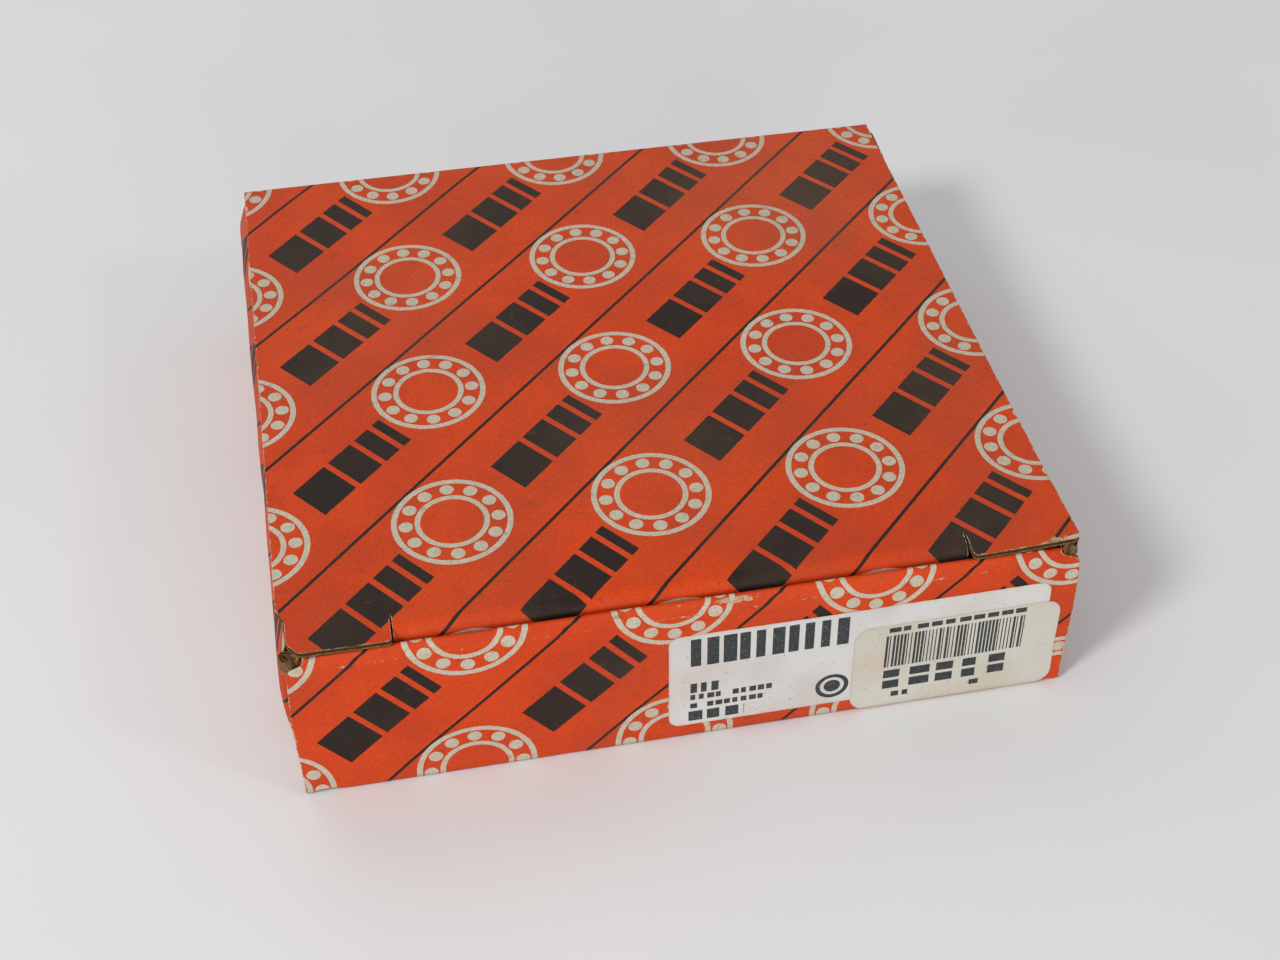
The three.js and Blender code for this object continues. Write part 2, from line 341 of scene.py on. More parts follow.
def printed_finish(name):
    """Clay-coated paper liner printed in two inks, rubbed and dirtied by handling."""
    g = Graph(name)
    u, v, panel = g.split(g.place("print_mm"))
    seat = g.vector(u, v, panel * 50.0)
    worn, dusty = g.field("worn"), g.field("dusty")

    wander = (g.noise(seat, 0.9, 3) - 0.5) * 0.16
    ring = ring_of_balls(g, u + wander, v + wander)
    black = block_mark(u + wander, v - wander).most(diagonal_line(u + wander, v))

    cloud = g.noise(seat, 0.045, 4, 0.6)
    grain = g.noise(seat, 2.6, 3, 0.65)
    thread = g.noise(g.vector(u * 3.2, v * 0.8, panel), 1.0, 2) \
        + g.noise(g.vector(u * 0.8, v * 3.2, panel), 1.0, 2)

    orange = g.layers(INK_ORANGE, (INK_ORANGE_DEEP, cloud, 0.35, 0.65, 1.0),
                      (srgb(226, 96, 44), grain, 0.52, 0.75, 0.3))
    bare = g.layers(PAPER, (srgb(186, 175, 152), grain, 0.4, 0.7, 0.5))
    faded = g.layers(INK_BLACK, (srgb(40, 32, 27), grain, 0.45, 0.75, 1.0))
    colour = g.blend(ring, g.blend(black, orange, faded), bare)
    colour = g.layers(colour, (srgb(70, 34, 20), thread, 0.75, 1.25, 0.22))

    # Ink that the paper's high fibres have lost
    lost = g.ramp(g.noise(seat, 5.5, 2, 0.7), 0.66, 0.74, 0, 0.5)
    lost = lost * g.ramp(g.noise(seat, 0.12, 3), 0.42, 0.62)
    colour = g.blend(lost, colour, PAPER_TORN)

    # Rubbed creases and edges, down to the paper and then to the kraft under it
    scuff = worn * 1.15 + (g.noise(seat, 0.75, 4, 0.7) - 0.5) * 1.7
    torn = g.ramp(scuff, 0.62, 0.78, 0, 0.85)
    colour = g.blend(torn, colour, g.layers(PAPER_TORN, (KRAFT, grain, 0.4, 0.6, 1.0)))
    brown = g.layers(srgb(72, 48, 27), (srgb(132, 98, 60), grain, 0.42, 0.62, 1.0))
    colour = g.layers(colour, (brown, scuff, 1.05, 1.3, 0.92))

    # Grey dust over everything, and dark specks where it has collected
    film = g.ramp(g.noise(seat, 0.022, 4, 0.6), 0.38, 0.72, 0.0, 0.12) + dusty * 0.16
    colour = g.blend(film, colour, srgb(142, 116, 92))
    smudge = g.noise(g.vector(u * 0.25, v * 0.42, panel), 1.0, 3, 0.55)
    colour = g.layers(colour, (srgb(96, 62, 44), smudge, 0.62, 0.76, 0.42))
    specks = g.ramp(g.noise(seat, 1.5, 3, 0.6), 0.63, 0.7, 0, 0.7)
    specks = specks * g.ramp(g.noise(seat, 0.06, 3, 0.6), 0.46, 0.62)
    colour = g.blend(specks, colour, srgb(58, 44, 36))

    rough = g.ramp(grain, 0.3, 0.7, 0.46, 0.62) + torn * 0.3 + film
    height = grain * 0.02 + thread * 0.03 + flute_relief(v) * 0.006 - torn * 0.03
    return g.finish(colour, rough, height, Specular_IOR_Level=0.22)


def kraft_finish(name):
    """The brown inner liner, with its fibres and the flutes showing faintly through."""
    g = Graph(name)
    u, v, panel = g.split(g.place("print_mm"))
    seat = g.vector(u, v, panel * 50.0 + 900.0)
    fibre = g.noise(g.vector(u * 0.35, v * 2.4, panel), 1.0, 4, 0.7)
    cloud = g.noise(seat, 0.05, 4)
    flute = flute_relief(v)
    colour = g.layers(KRAFT, (srgb(165, 131, 91), cloud, 0.35, 0.65, 1.0),
                      (KRAFT_DARK, fibre, 0.5, 0.8, 0.35),
                      (srgb(120, 90, 58), flute, -1, 1, 0.1),
                      (srgb(96, 66, 40), g.noise(seat, 2.2, 2), 0.68, 0.72, 0.7))
    return g.finish(colour, 0.82, fibre * 0.02 + flute * 0.016, Specular_IOR_Level=0.25)


def shaded_cut_edge_finish(name):
    """A cut edge: two brown liners with the darker fluted core between them, all painted darker
    than the bare board as the shade under the lid's front edge.
    """
    g = Graph(name)
    u, v, _ = g.split(g.place("print_mm"))
    depth = g.field("edge_depth")
    fray = g.noise(g.vector(u, v, depth * 3.0), 2.0, 4, 0.7)
    core = g.ramp(abs(depth - 0.5), 0.36, 0.28)
    # Liners and core are painted darker than the board's own browns: painted shade, as under the
    # lid's front edge.
    colour = g.layers(srgb(150, 112, 70), (srgb(100, 68, 38), fray, 0.35, 0.65, 1.0))
    colour = g.blend(core * 0.85, colour, srgb(58, 36, 21))
    colour = g.layers(colour, (srgb(188, 158, 116), fray, 0.62, 0.75, 0.45))
    return g.finish(colour, 0.9, fray * 0.12, Specular_IOR_Level=0.2)


# ---- Labels ----

TONER = srgb(40, 44, 46)


def within(u, v, left, right, low, high):
    """1 inside a rectangle, 0 outside it."""
    return u.above(left) * u.below(right) * v.above(low) * v.below(high)


def dashes(g, u, v, left, right, low, high, pitch, seed, spaces):
    """A row of solid dashes of mixed widths that stands where a line of print would; spaces
    is the share of them left out."""
    step = (u - left) / pitch
    cell = step.floor()
    width = g.chance(g.vector(cell, seed)) * 0.35 + 0.5
    printed = (step - cell).below(width) * g.chance(g.vector(cell, seed + 7.0)).above(spaces)
    return printed * within(u, v, left, right, low, high)


def strip_code(g, u, v, left, right, low, high, seed):
    """Upright bars of mixed widths."""
    step = (u - left) / 0.66
    cell = step.floor()
    width = g.chance(g.vector(cell, seed)).above(0.55) * 0.36 + 0.33
    return (step - cell).below(width) * within(u, v, left, right, low, high)


def roundel(x, y):
    """A plain dark disc with a pale band, about 6 mm across."""
    r = (x * x + y * y).root()
    return r.below(3.1) * (1 - abs(r - 1.9).below(0.35))


def paper_finish(name, base, tint, rows, emblem, roughness):
    """Label stock with rows of toner dashes and one emblem, a yellowed rim and red ink rubbed
    off the carton."""
    g = Graph(name)
    u, v, _ = g.split(g.place("print_mm"))
    worn = g.field("worn")
    seat = g.vector(u, v, 3.0)
    toner = emblem(g, u, v)
    for row in rows:
        toner = toner.most(dashes(g, u, v, *row))
    patchy = g.ramp(g.noise(seat, 3.5, 3, 0.7), 0.3, 0.42, 0.55, 1.0)
    grain = g.noise(seat, 1.4, 4, 0.6)
    rubbed = g.noise(seat, 0.09, 4, 0.65)
    colour = g.layers(base, (tint, g.noise(seat, 0.06, 3), 0.4, 0.7, 1.0),
                      (srgb(214, 178, 168), rubbed, 0.5, 0.75, 0.3))
    colour = g.blend(worn * g.ramp(grain, 0.3, 0.6, 0.3, 1.0) * 0.55, colour, srgb(186, 164, 126))
    colour = g.layers(colour, (srgb(120, 100, 86), g.noise(seat, 1.8, 2), 0.69, 0.72, 0.5))
    colour = g.blend(toner * patchy, colour, TONER)
    return g.finish(colour, roughness, grain * 0.012 - toner * 0.01, Specular_IOR_Level=0.4)


# Each row of dashes is (left, right, low, high, pitch, seed, spaces)

def product_label_finish():
    rows = [
        (3.9, 33.4, 15.4, 22.2, 2.95, 1.0, 0.0),
        (3.9, 9.6, 8.4, 10.9, 1.9, 2.0, 0.0),
        (3.9, 19.0, 6.5, 7.9, 1.55, 3.0, 0.05),
        (3.9, 17.4, 4.2, 5.5, 1.55, 4.0, 0.12),
        (3.6, 13.9, 0.9, 3.4, 3.4, 5.0, 0.0),
    ]
    return paper_finish("label_white", srgb(208, 206, 203), srgb(200, 193, 188), rows,
                        lambda g, u, v: roundel(u - 30.2, v - 4.5), 0.5)


def stock_label_finish():
    rows = [
        (6.3, 32.4, 19.4, 20.6, 2.62, 11.0, 0.0),
        (6.0, 31.0, 4.4, 6.5, 5.0, 14.0, 0.0),
        (6.0, 31.0, 7.2, 9.3, 5.0, 14.0, 0.0),
        (7.8, 12.0, 2.1, 3.4, 2.1, 15.0, 0.0),
        (22.7, 25.4, 2.1, 3.4, 2.7, 16.0, 0.0),
    ]
    return paper_finish("label_cream", srgb(202, 199, 187), srgb(195, 188, 172), rows,
                        lambda g, u, v: strip_code(g, u, v, 5.9, 32.0, 10.2, 18.6, 12.0), 0.55)


# ---- Bearing materials ----

def cylindrical(g):
    """Radius, angle and height about the bearing's axis, in millimetres and radians."""
    x, y, z = g.split(g.place("bearing_mm"))
    return (x * x + y * y).root(), g.maths("ARCTAN2", y, x), z


def ring_finish():
    """Hardened steel, ground all over and honed in the raceway, under a film of oil."""
    g = Graph("ground_steel")
    r, angle, z = cylindrical(g)
    grinding = g.noise(g.vector(r * 5.0, angle * 2.2, z * 5.0), 1.0, 3, 0.6)
    coarse = g.noise(g.vector(r * 1.2, angle * 0.8, z * 1.2), 1.0, 2)
    cloud = g.noise(g.vector(r * 0.1, angle * 4.0, z * 0.1), 1.0, 3)
    honed = g.field("worn")
    colour = g.layers(srgb(176, 178, 180), (srgb(206, 208, 209), grinding, 0.3, 0.7, 1.0),
                      (srgb(168, 160, 148), cloud, 0.5, 0.8, 0.25))
    rough = g.ramp(grinding, 0.3, 0.7, 0.24, 0.36) - honed * 0.17
    height = (grinding * 0.0028 + coarse * 0.0014) * (1 - honed * 0.8)
    return g.finish(colour, rough, height, Metallic=1.0)


def ball_finish():
    """Lapped chrome steel with a few oil smears."""
    g = Graph("lapped_steel")
    place = g.place("bearing_mm")
    smear = g.noise(place, 0.22, 4, 0.6)
    fine = g.noise(place, 4.0, 2)
    colour = g.layers(srgb(214, 216, 218), (srgb(198, 198, 196), smear, 0.4, 0.7, 1.0))
    rough = g.ramp(smear, 0.4, 0.75, 0.05, 0.15)
    return g.finish(colour, rough, fine * 0.0006, Metallic=1.0)


def cage_finish():
    """Natural glass-filled polyamide: cream, slightly mottled, with a moulded skin."""
    g = Graph("polyamide")
    place = g.place("bearing_mm")
    cloud = g.noise(place, 0.09, 4, 0.6)
    fibre = g.noise(place, 2.4, 4, 0.7)
    colour = g.layers(srgb(214, 202, 168), (srgb(198, 182, 142), cloud, 0.35, 0.65, 1.0),
                      (srgb(228, 220, 196), fibre, 0.56, 0.7, 0.4))
    rough = g.ramp(fibre, 0.3, 0.7, 0.38, 0.55)
    return g.finish(colour, rough, fibre * 0.02, Subsurface_Weight=0.12,
                    Subsurface_Radius=(0.002, 0.0015, 0.001), Subsurface_Scale=1.0)


# ---- Flat outlines ----

# The spacing of points along each kind of edge, and how far in the rings of points inside it lie
EDGE_STEP = {"flute": 0.325, "layer": 0.55, "paper": 0.7, "joined": 3.4}
INSETS = (0.45, 1.1, 2.3)


def unit(value):
    """The value kept between 0 and 1."""
    return np.clip(value, 0, 1)


def near(values, reach, *places):
    """1 at any of the places, falling towards 0 beyond the reach."""
    far = np.min([np.abs(values - place) for place in places], 0)
    return np.exp(-(far / reach) ** 2)


def ripple(a, b, size, seed):
    """A smooth uneven height from -1 to 1 with swells about this size."""
    total = 0.0
    for k in range(5):
        angle = seed * 1.7 + k * 2.399
        step = 2 * math.pi / size * (0.6 + 0.23 * k)
        swell = (a * math.cos(angle) + b * math.sin(angle)) * step + seed * (k + 1.3)
        total = total + np.sin(swell)
    return total / 3.2


def trace(outline):
    """Points round a closed outline, anticlockwise, and the kind of edge that leaves each.

    The outline's corners are (across, along, radius, kind)."""
    ends = []
    for i, (x, y, radius, _) in enumerate(outline):
        here = np.array((x, y), float)
        into = here - np.array(outline[i - 1][:2], float)
        away = np.array(outline[(i + 1) % len(outline)][:2], float) - here
        into /= np.linalg.norm(into)
        away /= np.linalg.norm(away)
        turns = np.linspace(0, math.pi / 2, 7 if radius > 0.5 else 4) if radius else [0]
        ends.append([here - into * radius * (1 - math.sin(t)) + away * radius * (1 - math.cos(t))
                     for t in turns])
    points, kinds = [], []
    for i, corner in enumerate(ends):
        kind = outline[i][3]
        points += corner
        kinds += [kind] * len(corner)
        start, stop = corner[-1], ends[(i + 1) % len(ends)][0]
        count = max(1, round(np.linalg.norm(stop - start) / EDGE_STEP[kind]))
        points += [start + (stop - start) * k / count for k in range(1, count)]
        kinds += [kind] * (count - 1)
    return np.array(points), kinds


def normalised(vectors):
    """One row for each vector, with a length of 1."""
    return vectors / np.maximum(np.linalg.norm(vectors, axis=1), 1e-9)[:, None]


def inward(points):
    """The direction into the sheet at each point of its outline."""
    tangent = normalised(np.roll(points, -1, 0) - np.roll(points, 1, 0))
    return np.stack([-tangent[:, 1], tangent[:, 0]], 1)


def batches(points):
    """The points in groups, small enough to measure each one against a whole outline."""
    for first in range(0, len(points), 512):
        yield slice(first, first + 512), points[first:first + 512, None, :]


def distance(points, a, b):
    """How far each point is from the nearest of the edges that run from a to b."""
    edge = b - a
    result = np.empty(len(points))
    for part, p in batches(points):
        share = ((p - a) * edge).sum(2) / np.maximum((edge ** 2).sum(1), 1e-12)
        nearest = a + edge * unit(share)[:, :, None]
        result[part] = np.sqrt(((p - nearest) ** 2).sum(2)).min(1)
    return result


def inside(points, loop):
    """Which points lie inside a closed outline."""
    a, b = loop, np.roll(loop, -1, 0)
    rise = np.where(b[:, 1] == a[:, 1], 1e-12, b[:, 1] - a[:, 1])
    result = np.empty(len(points), bool)
    for part, p in batches(points):
        spans = (a[:, 1] > p[:, :, 1]) != (b[:, 1] > p[:, :, 1])
        crossing = a[:, 0] + (p[:, :, 1] - a[:, 1]) * (b[:, 0] - a[:, 0]) / rise
        result[part] = (spans & (p[:, :, 0] < crossing)).sum(1) % 2 == 1
    return result


def clearance(points, loop):
    """How far each point lies inside a closed outline, or -1 outside it."""
    return np.where(inside(points, loop), distance(points, loop, np.roll(loop, -1, 0)), -1)


def stations(low, high, step, *dense):
    """Places from low to high at one spacing, with closer ones over each (start, end, step)."""
    places = set(np.round(np.arange(low, high, step), 3))
    for start, end, fine in dense:
        places = {p for p in places if not start - fine < p < end + fine}
        places |= set(np.round(np.arange(start, end + fine / 2, fine), 3))
    return sorted(places)


def fill(loop, across, along):
    """Points inside an outline: rings that follow its edge, then a grid."""
    into = inward(loop)
    found = []
    for inset, stride in zip(INSETS, (1, 2, 4)):
        ring = (loop + into * inset)[::stride]
        found.append(ring[clearance(ring, loop) > 0.9 * inset])
    grid = np.array([(x, y) for x in across for y in along])
    found.append(grid[clearance(grid, loop) > INSETS[-1] + 0.7])
    return np.concatenate(found)


# ---- Folded sections ----

QUARTER = math.pi / 2


def direction(heading):
    """The unit vector at a heading, or one row for each of several headings."""
    return np.stack([np.cos(heading), np.sin(heading)], -1)


class Section:
    """A folded section in its own plane, measured along the board's printed face.

    The printed face looks to the left of the heading, and folds turn to the right."""

    def __init__(self, start, heading):
        self.runs = []
        self.length = 0.0
        self.point = np.array(start, float)
        self.heading = math.radians(heading)

    def straight(self, length):
        self.runs.append((self.length, length, None, self.point, self.heading))
        self.point = self.point + length * direction(self.heading)
        self.length += length
        return self

    def fold(self, degrees, radius):
        angle = math.radians(degrees)
        self.runs.append((self.length, radius * angle, radius, self.point, self.heading))
        turned = direction(self.heading - angle + QUARTER) - direction(self.heading + QUARTER)
        self.point = self.point + turned * radius
        self.heading -= angle
        self.length += radius * angle
        return self

    def folds(self):
        """(start, end) of every fold, along the board."""
        return [(start, start + length) for start, length, radius, _, _ in self.runs if radius]

    def at(self, s):
        """Points and outward directions at these distances along the board."""
        point = np.zeros((len(s), 2))
        out = np.zeros((len(s), 2))
        for i, (start, length, radius, origin, heading) in enumerate(self.runs):
            last = i == len(self.runs) - 1
            use = ((s >= start) | (i == 0)) & ((s < start + length) | last)
            t = s[use] - start
            if radius is None:
                point[use] = origin + t[:, None] * direction(heading)
                out[use] = direction(heading + QUARTER)
            else:
                out[use] = direction(heading - t / radius + QUARTER)
                point[use] = origin + (out[use] - direction(heading + QUARTER)) * radius
        return point, out


def along_x(section, lift, slide=None):
    """Folds a sheet of (x, s) along a section in the Y-Z plane; lift pushes it outward, and
    slide moves it along Y."""
    def fold(sheet):
        x, s = sheet[:, 0], sheet[:, 1]
        point, out = section.at(s)
        normal = np.column_stack([np.zeros(len(s)), out])
        place = np.column_stack([x, point]) + normal * lift(x, s, point)[:, None]
        if slide is not None:
            place[:, 1] += slide(x, place)
        return place, normal
    return fold


# ---- Board meshes ----

# How far each kind of cut edge is set back at these shares of the board's thickness
DEPTHS = (0.0, LINER, 0.22, 0.5, 0.78, 1 - LINER, 1.0)
RECESS = {
    "flute": (0, 0, 0.9, 0.9, 0.9, 0, 0),
    "layer": (0, 0.02, 0.26, 0.14, 0.28, 0.02, 0),
    "paper": (0,) * 7,
    "joined": (0,) * 7,
}


class Mesh:
    """Vertices in millimetres, faces and point attributes as they are gathered."""

    def __init__(self):
        self.places, self.faces, self.slots = [], [], []
        self.extra = {"print_mm": [], "worn": [], "dusty": [], "edge_depth": []}

    def add(self, places, **extra):
        """Adds vertices and gives the numbers that faces know them by."""
        first = len(self.places)
        self.places += list(places)
        for key, values in self.extra.items():
            shape = (len(places), 3) if key == "print_mm" else len(places)
            values.append(np.broadcast_to(extra.get(key, 0.0), shape))
        return np.arange(first, len(self.places))

    def face(self, corners, slot=0):
        self.faces.append([int(c) for c in corners])
        self.slots.append(slot)

    def build(self, name, materials):
        extra = {key: np.concatenate(values) for key, values in self.extra.items()}
        return mesh_object(name, self.places, self.faces, materials, extra, crease=38,
                           slots=self.slots)


def mesh_object(name, places, faces, materials, extra, crease, slots=None):
    """A smooth mesh given in millimetres, sharp where it turns by more than the crease."""
    data = bpy.data.meshes.new(name)
    data.from_pydata([tuple(p) for p in np.asarray(places) * MM], [], faces)
    for material in materials:
        data.materials.append(material)
    if slots:
        data.polygons.foreach_set("material_index", slots)
    for key, values in extra.items():
        kind, field = ("FLOAT_VECTOR", "vector") if values.ndim == 2 else ("FLOAT", "value")
        attribute = data.attributes.new(key, kind, "POINT")
        attribute.data.foreach_set(field, values.astype(np.float32).ravel())
    data.shade_smooth()
    data.set_sharp_from_angle(angle=math.radians(crease))
    data.update()
    return link(name, data)


def link(name, data):
    """Puts an object with this data in the scene."""
    made = bpy.data.objects.new(name, data)
    bpy.context.scene.collection.objects.link(made)
    return made


def sheet_mesh(name, outline, fold, across, along, materials, thickness=BOARD,
               ring=(0.0, 0.0), stretch=1.0, panel=0.0, wear=None, dust=None, seed=1.0,
               uneven=0.07):
    """A folded board or label: its printed face, its inner face and its edges."""
    loop, kinds = trace(outline)
    cut = np.array([k != "joined" for k in kinds])
    free = cut & np.roll(cut, 1)
    wave = ripple(loop[:, 0], loop[:, 1], 5.0, seed) + ripple(loop[:, 0], loop[:, 1], 1.3, seed + 2)
    loop = loop + inward(loop) * (wave * uneven * 0.5 * free)[:, None]
    flat = np.concatenate([loop, fill(loop, across, along)])
    edges = [(i, (i + 1) % len(loop)) for i in range(len(loop))]
    made = delaunay_2d_cdt([Vector(p) for p in flat], edges, [], 1, 1e-6)
    flat = np.array([(p.x, p.y) for p in made[0]])

    far = distance(flat, loop[cut], np.roll(loop, -1, 0)[cut])
    place, normal = fold(flat)
    worn = 0.68 * np.exp(-far / 0.4)
    if wear is not None:
        worn = np.maximum(worn, wear(flat[:, 0], flat[:, 1]))
    dusty = np.zeros(len(flat)) if dust is None else dust(flat[:, 0], flat[:, 1])
    print_at = np.stack([flat[:, 0] - ring[0], (flat[:, 1] - ring[1]) * stretch,
                         np.full(len(flat), panel)], 1)

    mesh = Mesh()
    outer = mesh.add(place, print_mm=print_at, worn=worn, dusty=dusty)
    inner = mesh.add(place - normal * thickness, print_mm=print_at, edge_depth=1.0, worn=worn)
    for triangle in made[2]:
        mesh.face(outer[triangle])
        mesh.face(inner[triangle[::-1]], 1)
    count = len(loop)
    add_edges(mesh, loop, kinds, fold, print_at, thickness, outer[:count], inner[:count], seed)
    if "flute" in kinds:
        add_flutes(mesh, loop, kinds, fold, thickness)
    return mesh.build(name, materials)


def rim(loop, fold):
    """A sheet's folded outline, its outward directions and the directions into the sheet."""
    place, normal = fold(loop)
    return place, normal, normalised(fold(loop + inward(loop) * 0.3)[0] - place)


def add_edges(mesh, loop, kinds, fold, print_at, thickness, outer, inner, seed):
    """Closes a board's cut edges with a band that steps in between the two liners."""
    place, normal, into = rim(loop, fold)
    rough = 0.5 + 0.5 * ripple(loop[:, 0], loop[:, 1], 1.7, seed + 5)
    rings = [outer]
    for level, depth in list(enumerate(DEPTHS))[1:-1]:
        recess = np.array([RECESS[k][level] for k in kinds]) * (0.7 + 0.5 * rough)
        points = place - normal * (thickness * depth) + into * recess[:, None]
        rings.append(mesh.add(points, print_mm=print_at[:len(loop)], edge_depth=depth))
    rings.append(inner)
    for i, kind in enumerate(kinds):
        if kind == "joined":
            continue
        j = (i + 1) % len(loop)
        for upper, lower in zip(rings, rings[1:]):
            mesh.face((upper[j], upper[i], lower[i], lower[j]), 2)


def add_flutes(mesh, loop, kinds, fold, thickness):
    """The wavy core that shows between the liners where a cut crosses the flutes."""
    place, normal, into = rim(loop, fold)
    travelled = np.concatenate([[0], np.cumsum(np.linalg.norm(np.diff(loop, axis=0), axis=1))])
    wave = 0.5 + 0.25 * np.sin(2 * math.pi * travelled / FLUTE_PITCH)
    rows = []
    for depth, recess in ((-0.06, 0.08), (0.06, 0.08), (0.06, 0.85), (-0.06, 0.85)):
        points = place - normal * (thickness * (wave + depth))[:, None] + into * recess
        rows.append(mesh.add(points, edge_depth=1.4))
    for i, kind in enumerate(kinds[:-1]):
        if kind != "flute" or kinds[i + 1] != "flute":
            continue
        for a, b in zip(rows, rows[1:] + rows[:1]):
            mesh.face((a[i + 1], a[i], b[i], b[i + 1]), 2)


# ---- Carton ----

def lid_section():
    """Lid, rear crease and rear wall, starting at the lid's front edge."""
    section = Section((SHOULDER_Y, HEIGHT), 0)
    section.straight(HALF_DEPTH - REAR_FOLD - SHOULDER_Y).fold(90, REAR_FOLD)
    return section.straight(HEIGHT - REAR_FOLD - SIDE_FOLD).fold(90, SIDE_FOLD)


def front_section():
    """Base, front wall, rolled top and the inner ply, starting at the rear of the base."""
    section = Section((HALF_DEPTH - SIDE_FOLD, 0), 180)
    wall = FRONT_TOP - FRONT_ROLL - FRONT_FOLD
    section.straight(2 * HALF_DEPTH - SIDE_FOLD - FRONT_FOLD).fold(90, FRONT_FOLD)
    return section.straight(wall).fold(180, FRONT_ROLL).straight(wall)


def flap_section():
    """The tuck flap from its free edge up, over the roll and back to the lid."""
    lean = math.radians(FLAP_LEAN)
    centre_z = HEIGHT - FLAP_ROLL
    drop = (FLAP_DROP - FLAP_ROLL - FLAP_ROLL * math.sin(lean)) / math.cos(lean)
    start_y = FLAP_CENTRE_Y - FLAP_ROLL * math.cos(lean) + drop * math.sin(lean)
    start_z = centre_z - FLAP_ROLL * math.sin(lean) - drop * math.cos(lean)
    section = Section((start_y, start_z), 90 + FLAP_LEAN)
    section.straight(drop).fold(90 + FLAP_LEAN, FLAP_ROLL)
    return section.straight(CREASE_Y - FLAP_CENTRE_Y)


def crown(x, s, point):
    """The lid's unevenness, s being measured from its front edge."""
    return 0.16 * ripple(x, s, 90, 3) * np.sqrt(unit(1 - np.abs(point[:, 0]) / 66))


def lid_lift(x, s, point):
    """The lid is slightly crowned, and its front shoulders have sprung up a little."""
    on_lid = point[:, 1] > HEIGHT - 0.2
    right = 0.75 * unit((x - NOTCH[1]) / 19) ** 1.5 * near(s, 14, 0)
    left = 0.2 * unit((NOTCH[0] - x) / 18) * near(s, 10, 0)
    wall = 0.25 * np.sin(unit((HEIGHT - point[:, 1]) / HEIGHT) * math.pi)
    return np.where(on_lid, crown(x, s, point) + right + left, wall * (1 - (x / 75) ** 2))


def rear_slide(x, place):
    """The rear crease is a little off square and behind the wall's foot."""
    y, z = place[:, 1], place[:, 2]
    return REAR_SKEW * (1 - x / HALF_WIDTH) * unit((y - 30) / 32) ** 2 * unit(z / HEIGHT)


def front_lift(x, s, point):
    """The front wall bellies out between its corners."""
    height = point[:, 1]
    belly = np.sin(unit((height - 1) / 31) * math.pi)
    outer = 0.38 * belly * (1 - (x / 72) ** 2) + 0.08 * ripple(x, s, 30, 5) * belly
    back = 0.42 * unit((height - FRONT_WEAR_LINE) / 1.5)
    front = unit((-HALF_DEPTH + 1.1 - point[:, 0]) / 0.9)
    ends = 0.5 * unit((np.abs(x) - 60) / 9) ** 2 * unit((height - 28) / 5)
    foot = 0.5 * unit(1 - height / 7)
    return (outer - back + foot) * front - ends


def lid_board(finishes):
    """The lid with the rear wall, bending at the crease between them."""
    section = lid_section()
    top = section.length
    crease = sum(section.folds()[0]) / 2
    back = NOTCH_BACK - SHOULDER_Y
    seam = CREASE_Y - SHOULDER_Y
    left, right = NOTCH
    worn_in = 1.3
    outline = [
        (LID_LEFT[0] + worn_in + 1.9, 0, 0.6, "layer"),
        (left - SLIT, 0, 0.9, "layer"),
        (left - SLIT, back, 0, "layer"),
        (left, back, 0, "joined"),
        (left, seam, 0, "joined"),
        (right, seam, 0, "joined"),
        (right, back, 0, "joined"),
        (right + SLIT, back, 0, "layer"),
        (right + SLIT, 0, 0.9, "layer"),
        (LID_RIGHT[0], 0, 1.2, "flute"),
        (LID_RIGHT[1], crease - 1.5, 0.2, "layer"),
        (WALL_HALF, crease + 1, 0, "flute"),
        (WALL_HALF, top, 0, "joined"),
        (-WALL_HALF, top, 0, "flute"),
        (-WALL_HALF, crease + 1, 0, "layer"),
        (LID_LEFT[1], crease - 1.5, 0.2, "flute"),
        (LID_LEFT[0], 10.8, 0.6, "flute"),
        (LID_LEFT[0] + worn_in, 8.2, 0.6, "layer"),
        (LID_LEFT[0] + worn_in, 2.4, 0.6, "layer"),
    ]
    folds = section.folds()
    across = stations(-67, 68, 3.6)
    along = stations(1, top, 3.6, (folds[0][0] - 0.6, folds[0][1] + 0.6, 0.24),
                     (folds[1][0], folds[1][1], 0.35))

    def wear(x, s):
        rear = 0.62 * near(s, 1.4, crease)
        corner = 0.92 * near(x, 4.5, 66) * near(s, 1.4, 0)
        ends = 0.5 * near(x, 3, -69, 69) * near(s, 6, crease)
        return np.maximum.reduce([rear, corner, ends])

    def dust(x, s):
        return 0.35 * unit((s - 70) / 65) + 0.9 * near(x, 22, 46) * near(s, 26, 118)

    board = sheet_mesh("carton_lid_board", outline, along_x(section, lid_lift, rear_slide),
                       across, along, finishes, ring=(LID_RING[0], LID_RING[1] - SHOULDER_Y),
                       wear=wear, dust=dust, seed=1.0, uneven=0.06)
    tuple(REAR_BEND[0])
    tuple(REAR_BEND[1])
    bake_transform(board)
    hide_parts("carton_lid")


